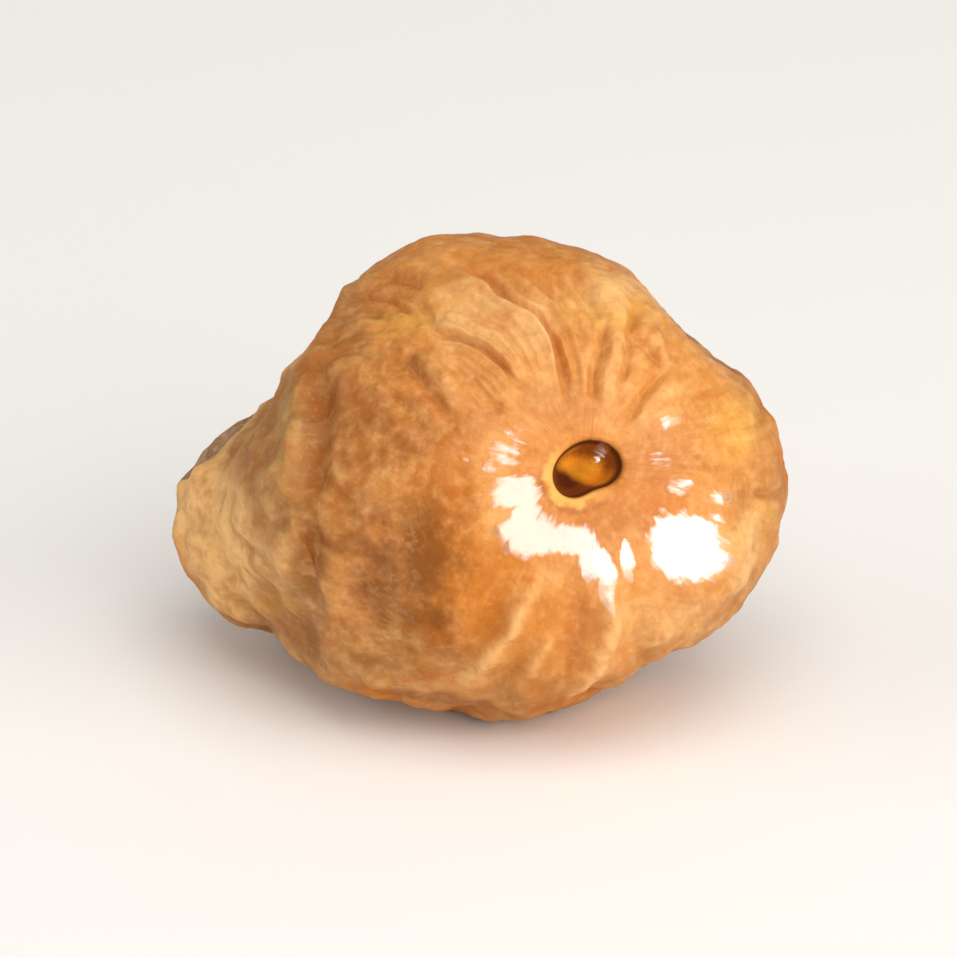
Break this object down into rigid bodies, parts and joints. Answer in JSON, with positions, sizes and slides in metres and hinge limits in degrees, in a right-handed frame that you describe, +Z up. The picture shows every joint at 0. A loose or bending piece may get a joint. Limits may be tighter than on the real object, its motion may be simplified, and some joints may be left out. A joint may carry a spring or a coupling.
{
  "type": "dried fig",
  "caption": "Whole dried fig lying on its side: a round pleated body with a small hole at its base, and a blunt tapered neck with a stalk scar.",
  "frame": {"origin": "on the surface the fig lies on, under the middle of its bounding box", "axes": "+Z up, the blunt neck points to -X, and the hole at the fruit's base faces -Y and a little up"},
  "size_m": [0.046, 0.0328, 0.0345],
  "materials": {
    "fig_skin": "amber skin, waxy to sticky round the eye and matt and tan on the neck"
  },
  "bodies": {
    "root": {"dried_fig": "fig_skin"}
  },
  "joints": []
}
